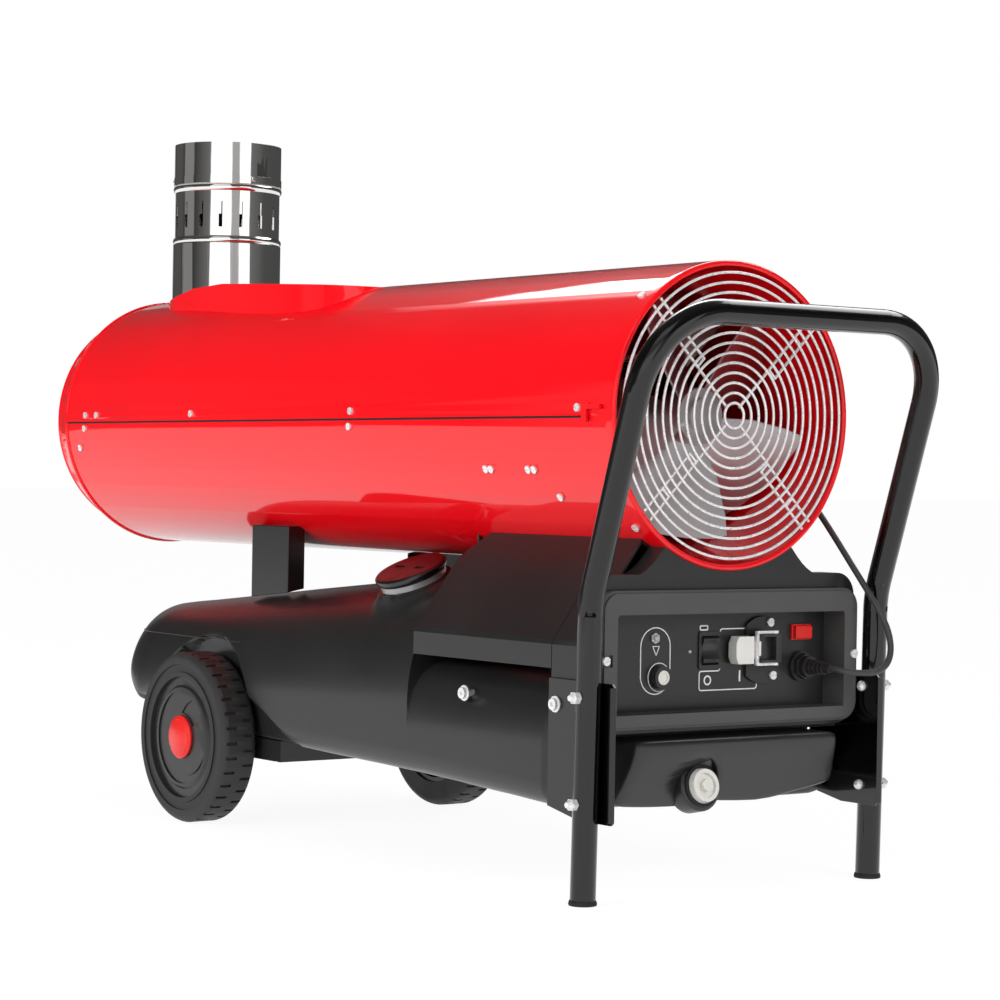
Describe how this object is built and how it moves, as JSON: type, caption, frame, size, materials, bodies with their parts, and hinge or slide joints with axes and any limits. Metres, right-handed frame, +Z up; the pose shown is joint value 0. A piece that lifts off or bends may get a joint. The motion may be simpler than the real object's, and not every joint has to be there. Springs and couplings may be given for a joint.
{
  "type": "indirect diesel heater",
  "caption": "Wheeled indirect diesel heater: red barrel with axial fan, slotted stainless flue, moulded fuel tank, control panel and a bent tube handle frame.",
  "frame": {"origin": "middle of the heater's length and width, on the floor", "axes": "+X toward the fan end and the handle bar, +Y toward the right side as seen from the handle, +Z up"},
  "size_m": [1.419, 0.7262, 0.9133],
  "materials": {
    "black_plastic": "satin moulded plastic",
    "grey_plastic": "satin grey plastic",
    "cord_pvc": "soft smooth cord sheath",
    "white_plastic": "smooth white plastic",
    "red_plastic": "smooth red plastic",
    "clear_led": "clear moulded lens",
    "rubber": "matt black rubber",
    "tyre_rubber": "matt tread rubber",
    "red_paint": "gloss red enamel on sheet steel",
    "black_paint": "semi gloss black powder coat",
    "stainless": "polished stainless steel",
    "zinc_steel": "bright zinc plated steel",
    "fan_alloy": "pressed aluminium",
    "dark_steel": "heat resisting sheet steel",
    "copper": "drawn copper pipe"
  },
  "bodies": {
    "frame": {"fuel_tank": "black_plastic", "filler_neck": "grey_plastic", "drain_seal": "rubber", "drain_plug": "white_plastic", "tank_screws": "zinc_steel", "axle": "zinc_steel", "axle_carrier": "black_plastic", "handle_frame": "black_paint", "foot_caps": "rubber", "leg_plate_left": "black_paint", "leg_plate_right": "black_paint", "frame_bolts": "zinc_steel", "post_left": "black_paint", "post_right": "black_paint", "console_housing": "black_plastic", "side_cover_left": "black_plastic", "side_cover_right": "black_plastic", "panel_bezel": "grey_plastic", "control_panel": "black_plastic", "switch_frame": "black_plastic", "status_leds": "clear_led", "thermostat_socket": "black_plastic", "socket_plug": "white_plastic", "red_lamp": "red_plastic", "cable_gland": "black_plastic", "panel_screws": "zinc_steel", "upper_shell": "red_paint", "lower_shell": "red_paint", "shell_screws": "zinc_steel", "outlet_ring": "red_paint", "inlet_ring": "red_paint", "fan_guard": "zinc_steel", "fan_motor": "black_paint", "motor_bracket": "zinc_steel", "combustion_chamber": "dark_steel", "burner": "dark_steel", "fuel_pump": "fan_alloy", "fuel_pipe": "copper", "ignition_transformer": "black_paint", "flue_lower": "stainless", "flue_sleeve": "stainless", "flue_inner": "stainless", "flue_upper": "stainless", "flue_saddle": "red_paint", "power_cord": "cord_pvc", "cord_coil": "cord_pvc", "mains_plug": "black_plastic", "cord_clips": "black_plastic"},
    "left_wheel": {"tyre_left": "tyre_rubber", "rim_left": "black_plastic", "hubcap_left": "red_plastic"},
    "right_wheel": {"tyre_right": "tyre_rubber", "rim_right": "black_plastic", "hubcap_right": "red_plastic"},
    "fan_rotor": {"fan": "fan_alloy"},
    "cap_lift": {"cap_gasket": "rubber"},
    "cap": {"filler_cap": "black_plastic"},
    "rocker": {"rocker_switch": "black_plastic"},
    "reset": {"reset_button": "white_plastic"},
    "lock_bail": {"lock_lever": "zinc_steel"}
  },
  "joints": [
    {"name": "left_wheel_spin", "type": "hinge", "parent": "frame", "child": "left_wheel", "pos_m": [-0.2325, 0, 0.11], "axis": [0, 1, 0], "continuous": true},
    {"name": "right_wheel_spin", "type": "hinge", "parent": "frame", "child": "right_wheel", "pos_m": [-0.2325, 0, 0.11], "axis": [0, 1, 0], "continuous": true},
    {"name": "fan_spin", "type": "hinge", "parent": "frame", "child": "fan_rotor", "pos_m": [0.5065, 0, 0.525], "axis": [1, 0, 0], "continuous": true},
    {"name": "filler_cap_rise", "type": "slide", "parent": "frame", "child": "cap_lift", "axis": [0, -0.4067, 0.9135], "range_m": [0, 0.006]},
    {"name": "filler_cap_turn", "type": "hinge", "parent": "cap_lift", "child": "cap", "pos_m": [0.1395, -0.12, 0.33], "axis": [0, -0.4067, 0.9135], "range_deg": [0, 360]},
    {"name": "rocker_tilt", "type": "hinge", "parent": "frame", "child": "rocker", "pos_m": [0.5515, -0.007, 0.264], "axis": [0, 1, 0], "range_deg": [-8, 8]},
    {"name": "reset_press", "type": "slide", "parent": "frame", "child": "reset", "axis": [-1, 0, 0], "range_m": [0, 0.003], "stiffness_N_per_m": 300},
    {"name": "lock_bail_swing", "type": "hinge", "parent": "frame", "child": "lock_bail", "pos_m": [0.5745, 0.0745, 0.264], "axis": [0, 0, 1], "range_deg": [0, 100]}
  ],
  "couplings": [
    {"joint": "filler_cap_rise", "follows": "filler_cap_turn", "m_per_rad": 0.00095493}
  ]
}
